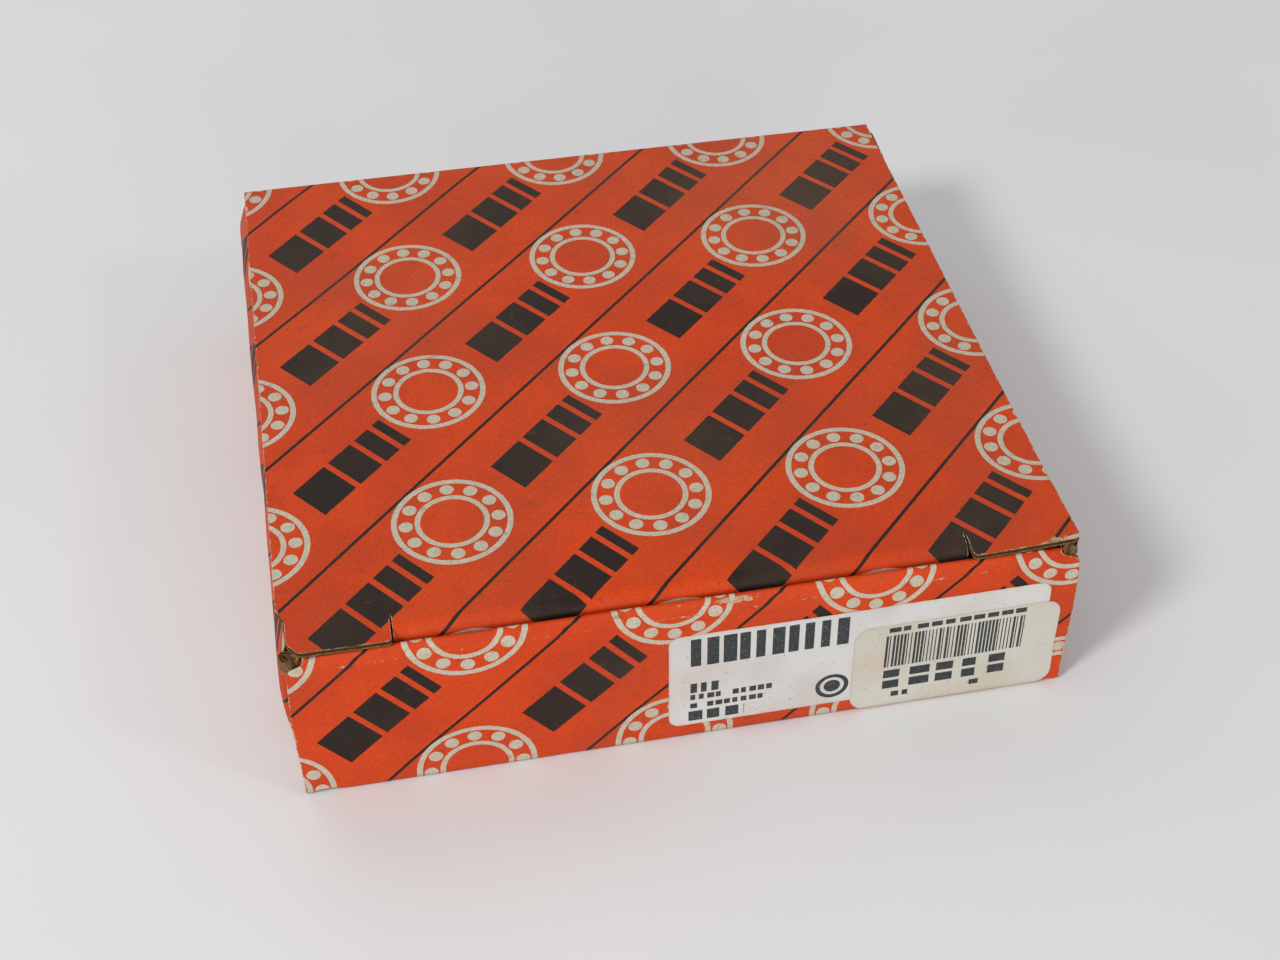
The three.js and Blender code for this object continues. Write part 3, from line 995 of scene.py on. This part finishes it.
def front_board(finishes):
    """The base with the rolled-over front wall; gives the wall's section for the labels."""
    section = front_section()
    (fold_a, fold_b), (roll_a, roll_b) = section.folds()
    end = section.length
    outline = [
        (-HALF_WIDTH + SIDE_FOLD, 0, 0, "joined"),
        (HALF_WIDTH - SIDE_FOLD, 0, 0, "joined"),
        (HALF_WIDTH - SIDE_FOLD, fold_a - 0.5, 0, "layer"),
        (FRONT_HALF, fold_a + 0.6, 0.3, "flute"),
        (FRONT_HALF + 0.75, (fold_b + roll_a) / 2, 4.0, "flute"),
        (FRONT_HALF + 0.45, roll_a - 1.4, 1.0, "layer"),
        (CURL_AT - 1.2, roll_a - 0.2, 0.8, "flute"),
        (CURL_AT - 1.2, roll_b, 0.3, "layer"),
        (65.0, roll_b + 1.5, 0.5, "layer"),
        (65.0, end, 2.0, "layer"),
        (-65.0, end, 2.0, "layer"),
        (-65.0, roll_b + 1.5, 0.5, "layer"),
        (1.2 - CURL_AT, roll_b, 0.3, "flute"),
        (1.2 - CURL_AT, roll_a - 0.2, 0.8, "layer"),
        (-FRONT_HALF, roll_a - 1.2, 1.0, "flute"),
        (-FRONT_HALF - 0.5, (fold_b + roll_a) / 2, 4.0, "flute"),
        (-FRONT_HALF, fold_a + 0.6, 0.3, "layer"),
        (-HALF_WIDTH + SIDE_FOLD, fold_a - 0.5, 0, "joined"),
    ]
    across = stations(-67, 68, 3.4)
    along = stations(1, end, 3.4, (fold_a - 0.3, fold_b + 0.3, 0.28),
                     (roll_a - 3.4, roll_b + 0.3, 0.27))
    rise = fold_b - FRONT_FOLD          # s where the wall's own height would be zero

    def wear(x, s):
        height = s - rise
        line = 0.5 * near(height, 0.55, FRONT_WEAR_LINE)
        top = 0.34 * near(s, 1.5, (roll_a + roll_b) / 2 - 0.6)
        bottom = 0.42 * near(s, 1.0, (fold_a + fold_b) / 2)
        edge = 0.3 * near(x, 0.8, -FRONT_HALF, FRONT_HALF)
        knock = 0.85 * near(x, 6, 8) * near(s, 1.2, roll_a + 0.8)
        return np.maximum.reduce([line, top, bottom, edge * (s > fold_a), knock])

    board = sheet_mesh("carton_front_board", outline, along_x(section, front_lift), across, along,
                       finishes, ring=(FRONT_RING[0], FRONT_RING[1] + rise),
                       stretch=FRONT_STRETCH, panel=1.0, wear=wear, seed=4.0, uneven=0.08)
    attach(board, "carton")
    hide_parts("carton_tray")
    return section, rise


def flap_board(finishes):
    """The tuck flap, a continuation of the lid between its two slits."""
    section = flap_section()
    (roll_a, roll_b), = section.folds()
    end = section.length
    left, right = NOTCH
    waist = roll_b + NOTCH_BACK - FLAP_CENTRE_Y
    outline = [
        (left + 0.12, 0, 7.0, "layer"),
        (right - 0.12, 0, 7.0, "flute"),
        (right - 0.12, waist, 0, "layer"),
        (right, waist + 0.2, 0, "joined"),
        (right, end, 0, "joined"),
        (left, end, 0, "joined"),
        (left, waist + 0.2, 0, "layer"),
        (left + 0.12, waist, 0, "flute"),
    ]
    across = stations(left + 3.2, right - 2, 3.4)
    along = stations(1, end - 0.4, 3.0, (roll_a - 0.6, roll_b + 0.4, 0.4))

    def lift(x, s, point):
        return crown(x, s - end + CREASE_Y - SHOULDER_Y, point) * unit((s - roll_b) / 3)

    def wear(x, s):
        return 0.3 * near(s, 1.6, roll_b - 0.8)

    board = sheet_mesh("carton_tuck_board", outline, along_x(section, lift), across, along,
                       finishes, ring=(LID_RING[0], LID_RING[1] + end - CREASE_Y), wear=wear,
                       seed=6.0)
    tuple(FLAP_BEND[0])
    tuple(FLAP_BEND[1])
    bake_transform(board)
    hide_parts("carton_tuck_flap")


def side_section():
    """The right side in plan, from its glued rear tab round to its front tab."""
    inner = HALF_WIDTH - SIDE_FOLD
    tab_y = HALF_DEPTH - BOARD - 0.05
    section = Section((inner - REAR_TAB, tab_y), 0)
    section.straight(REAR_TAB).fold(90, SIDE_FOLD)
    return section.straight(2 * (tab_y - SIDE_FOLD)).fold(90, SIDE_FOLD).straight(FRONT_TAB)


def rectangle(left, low, right, high, radius, kind):
    """A rectangle's outline."""
    return [(x, y, radius, kind)
            for x, y in ((left, low), (right, low), (right, high), (left, high))]


def mirrored(outline):
    """An outline turned over from left to right, still anticlockwise."""
    return [(-x, y, radius, outline[i - 1][3])
            for i, (x, y, radius, _) in reversed(list(enumerate(outline)))]


def side_bulge(height, side):
    """How far a side wall has been pushed out by the weight on the lid; the left one more."""
    swell = 0.5 - 0.5 * np.cos(unit(height / 25) * math.pi)
    tuck = unit((height - 26) / 8) ** 2
    return (1.0 * swell - 1.1 * tuck) if side > 0 else (1.75 * swell - 2.0 * tuck)


def side_board(name, side, finishes, seed):
    """A side wall with its two tabs: the right one for side 1, its mirror image for -1."""
    section = side_section()
    (rear_a, rear_b), (front_a, front_b) = section.folds()
    middle = (rear_b + front_a) / 2     # a = middle - s, so that a grows towards the rear
    arc = SIDE_FOLD * math.pi / 2
    to_top = arc + WALL_TOP - SIDE_FOLD

    def fold(sheet):
        a, v = sheet[:, 0] * side, sheet[:, 1]
        plan, out = section.at(middle - a)
        angle = np.clip(v / SIDE_FOLD, 0, math.pi / 2)
        height = np.where(v < arc, SIDE_FOLD * (1 - np.cos(angle)), v - arc + SIDE_FOLD)
        on_side = near(np.maximum(np.abs(a) - 58, 0), 6, 0)
        push = 0.12 * ripple(a, v, 24, seed) * on_side - SIDE_FOLD * (1 - np.sin(angle))
        place = np.column_stack([plan, height])
        place[:, 0] += side_bulge(height, side)
        place[:, :2] += out * push[:, None]
        down = np.cos(angle) * (v < arc)
        normal = normalised(np.column_stack([np.sin(angle)[:, None] * out, -down]))
        place[:, 0] *= side
        normal[:, 0] *= side
        return place, normal

    low, high = middle - section.length, middle
    side_low, side_high = middle - front_a, middle - rear_b
    front_fold, rear_fold = middle - front_b, middle - rear_a
    outline = [
        (low, 2.6, 0.6, "flute"),
        (front_fold, 2.2, 0.3, "layer"),
        (side_low + 0.8, 0, 0, "joined"),
        (side_high - 0.8, 0, 0, "layer"),
        (rear_fold, 2.2, 0.3, "layer"),
        (high, 3.0, 1.5, "flute"),
        (high, to_top - 2.5, 1.5, "layer"),
        (rear_fold, to_top - 0.6, 0.3, "layer"),
        (side_high, to_top, 0.3, "layer"),
        (side_low + 1.9, to_top, 0.4, "layer"),
        (side_low + 1.3, to_top - 3.0, 0.4, "layer"),
        (low, to_top - 3.2, 0.5, "flute"),
    ]
    across = stations(low + 1, high, 3.4, (front_fold - 0.2, side_low + 0.2, 0.3),
                      (side_high - 0.2, rear_fold + 0.2, 0.3))
    along = stations(0.4, to_top, 2.0, (0.4, arc + 0.2, 0.3))

    def wear(a, v):
        corners = near(a * side, 0.9, (front_fold + side_low) / 2, (side_high + rear_fold) / 2)
        return 0.42 * np.maximum(corners, near(v, 1.0, arc / 2))

    board = sheet_mesh(name, outline if side > 0 else mirrored(outline), fold,
                       sorted(side * a for a in across), along, finishes, ring=SIDE_RING,
                       panel=2.0 + seed, wear=wear, seed=seed, uneven=0.16)
    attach(board, "carton")


def corner_curl(name, side, size, finishes):
    """The top of a front corner, where the board has been worked into a ragged brown curl; its
    inner face is painted dark as the shade inside the curl.
    """
    section = Section((-CURL_AT - 0.4, -66.3), 300)
    section.fold(140, 1.15 * size).fold(110, 1.6 * size).fold(80, 1.0 * size).straight(2.4)
    tall = 2.4 + 0.8 * size

    def fold(sheet):
        s, v = sheet[:, 0] * side, sheet[:, 1]
        plan, out = section.at(s)
        rise = v + 34.1 - tall + 0.4 * ripple(s, v * 0.2, 3.1, 4 + side) * unit(v / tall)
        plan = plan + out * (0.35 * ripple(s, v, 2.6, 7 + side) * unit(v / 3))[:, None]
        place = np.stack([-side * plan[:, 0], plan[:, 1], rise], 1)
        normal = np.stack([-side * out[:, 0], out[:, 1], np.zeros(len(s))], 1)
        return place, normal

    start, stop = sorted((0.0, side * section.length))
    outline = rectangle(start, 0, stop, tall, 0.2, "layer")
    across = stations(start + 0.5, stop, 0.45)
    curl = sheet_mesh(name, outline, fold, across, stations(0.5, tall, 0.5), finishes,
                      thickness=0.7, ring=SIDE_RING, panel=6.0, uneven=0.5, seed=11.0 + side,
                      wear=lambda a, v: 0.7 + 1.3 * unit(v / 1.2))
    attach(curl, "carton")


def wall_label(name, node, place, offset, finish, section, rise, seed):
    """A paper label stuck to the front wall, following its belly."""
    width, height = place["width"], place["height"]
    left, low = place["x"] - width / 2, place["z"] - height / 2
    wall = along_x(section, front_lift)

    def fold(sheet):
        on_wall = np.stack([sheet[:, 0] + left, sheet[:, 1] + low + rise], 1)
        point, normal = wall(on_wall)
        return point + normal * offset(on_wall[:, 0], on_wall[:, 1] - rise)[:, None], normal

    outline = rectangle(0, 0, width, height, place["radius"], "paper")
    label = sheet_mesh(name, outline, fold, stations(2.5, width, 2.6),
                       stations(2.5, height, 2.6), [finish] * 3, thickness=0.09, seed=seed,
                       uneven=0.05)
    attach(label, "carton")
    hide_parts(node)


def product_offset(x, z):
    """How far the product label stands off the wall: its top edge has lifted a little."""
    curl = 0.1 * unit(ripple(x, z, 40, 8))
    return 0.14 + curl * (z > 24)


def stock_offset(x, z):
    """Lies on the product label, and steps down to the board past its right and lower edges."""
    right = PRODUCT_LABEL["x"] + PRODUCT_LABEL["width"] / 2
    low = PRODUCT_LABEL["z"] - PRODUCT_LABEL["height"] / 2
    across, up = unit((right + 0.9 - x) / 0.9), unit((z - low + 0.9) / 0.9)
    return 0.15 + 0.12 * across ** 2 * (3 - 2 * across) * up ** 2 * (3 - 2 * up)


def build_carton():
    # The cut-edge finish carries painted shade: its browns are darker than the bare board.
    printed, cut = printed_finish("printed_liner"), shaded_cut_edge_finish("cut_board_shaded")
    finishes = [printed, kraft_finish("kraft_liner"), cut]
    lid_board(finishes)
    section, rise = front_board(finishes)
    flap_board(finishes)
    side_board("carton_right_board", 1, finishes, 2.0)
    side_board("carton_left_board", -1, finishes, 3.0)
    # The curls' inner faces use the darkened cut-edge finish instead of the kraft liner: painted
    # shade in the hollow of each curl.
    corner_curl("carton_left_curl", -1, 0.95, [printed, cut, cut])
    corner_curl("carton_right_curl", 1, 0.7, [printed, cut, cut])
    wall_label("product_paper", "product_label", PRODUCT_LABEL, product_offset,
               product_label_finish(), section, rise, 7.0)
    wall_label("stock_paper", "stock_label", STOCK_LABEL, stock_offset,
               stock_label_finish(), section, rise, 9.0)


# ---- Bearing ----

def rounded(corners):
    """A closed profile with each (r, z, fillet) corner turned into an arc."""
    points = []
    for i, (r, z, fillet) in enumerate(corners):
        here = Vector((r, z))
        if not fillet:
            points.append(here)
            continue
        before = (Vector(corners[i - 1][:2]) - here).normalized()
        after = (Vector(corners[(i + 1) % len(corners)][:2]) - here).normalized()
        half = before.angle(after) / 2
        reach = fillet / math.tan(half)
        centre = here + (before + after).normalized() * (fillet / math.sin(half))
        start, stop = here + before * reach - centre, here + after * reach - centre
        points += [centre + start.slerp(stop, k / 4) * fillet for k in range(5)]
    return points


def groove_points(first, last):
    """The raceway's arc round the balls, as plain corners."""
    return [(PITCH_RADIUS + GROOVE_RADIUS * math.cos(angle), GROOVE_RADIUS * math.sin(angle), 0)
            for angle in np.linspace(first, last, GROOVE_STEPS + 1)]


def lathe(name, profile, centre, materials, steps=RING_STEPS, honed=None):
    """A closed profile turned about the bearing's axis."""
    points = np.array([tuple(p) for p in profile])
    angles = np.arange(steps) * 2 * math.pi / steps
    r, z = points[:, 0], points[:, 1]
    local = np.stack([np.outer(np.cos(angles), r), np.outer(np.sin(angles), r),
                      np.outer(np.ones(steps), z)], 2).reshape(-1, 3)
    here = np.arange(local.shape[0]).reshape(steps, len(points))
    beyond = np.roll(here, -1, 0)
    faces = np.stack([here, beyond, np.roll(beyond, -1, 1), np.roll(here, -1, 1)], 2)
    faces = faces.reshape(-1, 4).tolist()
    if np.sum(r * np.roll(z, -1) - np.roll(r, -1) * z) < 0:
        faces = [face[::-1] for face in faces]
    polish = np.zeros(len(points)) if honed is None else honed(r, z)
    return bearing_mesh(name, local, faces, centre, materials, worn=np.tile(polish, steps))


def bearing_mesh(name, local, faces, centre, materials, crease=32.0, **extra):
    """A mesh given about the bearing's centre in millimetres."""
    return mesh_object(name, local + centre, faces, materials, {"bearing_mm": local, **extra},
                       crease)


def on_groove(r, z):
    """1 on the raceway, 0 elsewhere."""
    return (np.abs(np.hypot(r - PITCH_RADIUS, z) - GROOVE_RADIUS) < 0.02).astype(float)


def outer_ring_mesh(centre, steel):
    high, low = 52.0, 58.2
    top = math.acos((high - PITCH_RADIUS) / GROOVE_RADIUS)
    bottom = -math.acos((low - PITCH_RADIUS) / GROOVE_RADIUS)
    profile = rounded([
        (OUTER_RADIUS, -HALF_RING, 1.1), (OUTER_RADIUS, HALF_RING, 2.0), (high, HALF_RING, 0.7),
        *groove_points(top, bottom), (low + 0.3, -HALF_RING, 0.5),
    ])
    return lathe("outer_ring_ground", profile, centre, [steel], honed=on_groove)


def inner_ring_mesh(centre, steel):
    high, low = 43.6, 36.8
    first = math.pi + math.acos((PITCH_RADIUS - high) / GROOVE_RADIUS)
    last = math.pi - math.acos((PITCH_RADIUS - low) / GROOVE_RADIUS)
    profile = rounded([
        (BORE_RADIUS, HALF_RING, 1.8), (BORE_RADIUS, -HALF_RING, 1.8), (high, -HALF_RING, 0.7),
        *groove_points(first, last), (low, HALF_RING, 0.7),
    ])
    return lathe("inner_ring_ground", profile, centre, [steel], honed=on_groove)


def ball_mesh(name, place, centre, steel):
    """A lapped ball: a cube of patches pushed out onto the sphere, with no poles."""
    shape = bmesh.new()
    bmesh.ops.create_cube(shape, size=1.0)
    bmesh.ops.subdivide_edges(shape, edges=shape.edges, cuts=15, use_grid_fill=True)
    for vertex in shape.verts:
        x, y, z = (math.tan(c * math.pi / 2) for c in vertex.co)
        vertex.co = Vector((x, y, z)).normalized() * BALL_RADIUS
    points = np.array([v.co[:] for v in shape.verts]) + place
    faces = [[v.index for v in f.verts] for f in shape.faces]
    shape.free()
    return bearing_mesh(name, points, faces, centre, [steel], crease=180)


def cage_mesh(centre, plastic, places):
    """A conical window cage: the pockets are cut by the balls' clearance, then the moulded
    edges are softened by remeshing and smoothing."""
    profile = rounded([
        (50.6, -14, 0.8), (57.1, -14, 0.8), (57.1, -8.2, 1.5), (44.4, 14, 0.8),
        (38.2, 14, 0.8), (38.2, 8.2, 1.5),
    ])
    cage = lathe("cage_moulded", profile, centre, [plastic], steps=144)
    cutters = bmesh.new()
    for place in places:
        spot = Matrix.Translation((Vector(place) + Vector(centre)) * MM)
        bmesh.ops.create_icosphere(cutters, subdivisions=4, radius=(BALL_RADIUS + POCKET_PLAY) * MM,
                                   matrix=spot)
    data = bpy.data.meshes.new("pockets")
    cutters.to_mesh(data)
    cutters.free()
    pockets = link("pockets", data)
    cut = cage.modifiers.new("pockets", "BOOLEAN")
    cut.operation, cut.object, cut.solver = "DIFFERENCE", pockets, "EXACT"
    soft = cage.modifiers.new("soft", "REMESH")
    soft.mode, soft.voxel_size = "VOXEL", 0.55 * MM
    smooth = cage.modifiers.new("smooth", "SMOOTH")
    smooth.factor, smooth.iterations = 0.5, 5
    evaluated = cage.evaluated_get(bpy.context.evaluated_depsgraph_get())
    made = evaluated.to_mesh()
    points = np.array([v.co[:] for v in made.vertices]) / MM - centre
    faces = [list(p.vertices) for p in made.polygons]
    evaluated.to_mesh_clear()
    bpy.data.objects.remove(cage)
    bpy.data.objects.remove(pockets)
    return bearing_mesh("cage_moulded", points, faces, centre, [plastic], crease=60)


def build_bearing():
    low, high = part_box("outer_ring")
    centre = np.array((low + high) / 2) / MM
    steel, polished, plastic = ring_finish(), ball_finish(), cage_finish()
    turns = [2 * math.pi * k / BALLS for k in range(BALLS)]
    places = [(PITCH_RADIUS * math.cos(t), PITCH_RADIUS * math.sin(t), 0) for t in turns]
    made = [
        (outer_ring_mesh(centre, steel), "carton", "outer_ring", "ring_steel"),
        (inner_ring_mesh(centre, steel), "inner_ring", "inner_ring", "ring_steel"),
        (cage_mesh(centre, plastic, places), "cage", "cage", "cage_polyamide"),
    ]
    for k, place in enumerate(places):
        name = f"ball_{k + 1:02d}"
        ball = ball_mesh(f"{name}_lapped", np.array(place), centre, polished)
        made.append((ball, name, name, "ball_steel"))
    for piece, body, node, slot in made:
        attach(piece, body)
        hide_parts(node)


# ---- Stage ----

def floor_finish():
    """A pale painted board, very slightly uneven."""
    g = Graph("pale_floor")
    place = g.node("ShaderNodeTexCoord").outputs["Object"]
    patch = g.noise(place, 7.0, 3)
    colour = g.layers(srgb(226, 226, 226), (srgb(223, 222, 222), patch, 0.3, 0.7, 1.0))
    return g.finish(colour, 0.6, g.noise(place, 300.0, 2) * 0.01)


def area_light(name, place, size, power, colour=(1, 1, 1)):
    """A round light that faces the object."""
    data = bpy.data.lights.new(name, "AREA")
    data.shape, data.size, data.energy, data.color = "DISK", size, power, colour
    light = link(name, data)
    light.location = place
    light.rotation_euler = (-Vector(place)).to_track_quat("-Z", "Y").to_euler()


def build_stage():
    shape = bmesh.new()
    bmesh.ops.create_grid(shape, x_segments=2, y_segments=2, size=3.0)
    data = bpy.data.meshes.new("floor")
    shape.to_mesh(data)
    shape.free()
    data.materials.append(floor_finish())
    floor = link("floor", data)
    floor.location = (0, 0, -0.0002)
    floor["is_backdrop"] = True

    world = bpy.data.worlds.new("studio")
    world.use_nodes = True
    background = world.node_tree.nodes["Background"]
    background.inputs["Color"].default_value = (0.955, 0.975, 1.0, 1)
    background.inputs["Strength"].default_value = 0.44
    bpy.context.scene.world = world
    area_light("key", (-0.864, -0.613, 0.99), 0.33, 9.9, (1.0, 0.985, 0.96))
    area_light("right", (0.85, -0.67, 0.886), 0.16, 1.45)
    area_light("fill", (0.1, -2.6, 0.6), 1.4, 18.0)
    area_light("back", (-0.35, 1.1, 1.3), 1.4, 4.0)


def build_camera():
    right, up = Vector(CAMERA_RIGHT), Vector(CAMERA_UP)
    back = right.cross(up)
    data = bpy.data.cameras.new("camera")
    data.lens = CAMERA_LENS
    data.sensor_width = 36.0
    data.clip_start = 0.01
    camera = link("camera", data)
    turn = Matrix((right, up, back)).transposed().to_4x4()
    camera.matrix_world = Matrix.Translation(Vector(CAMERA_PLACE) * MM) @ turn
    bpy.context.scene.camera = camera


def write_sizes():
    boxes = {"cad": cad_box, "visual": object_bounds()}
    {key: [list(corner) for corner in box] for key, box in boxes.items()}


build_stage()
build_camera()
build_carton()
build_bearing()
bpy.context.scene.view_settings.view_transform = "Standard"
write_sizes()
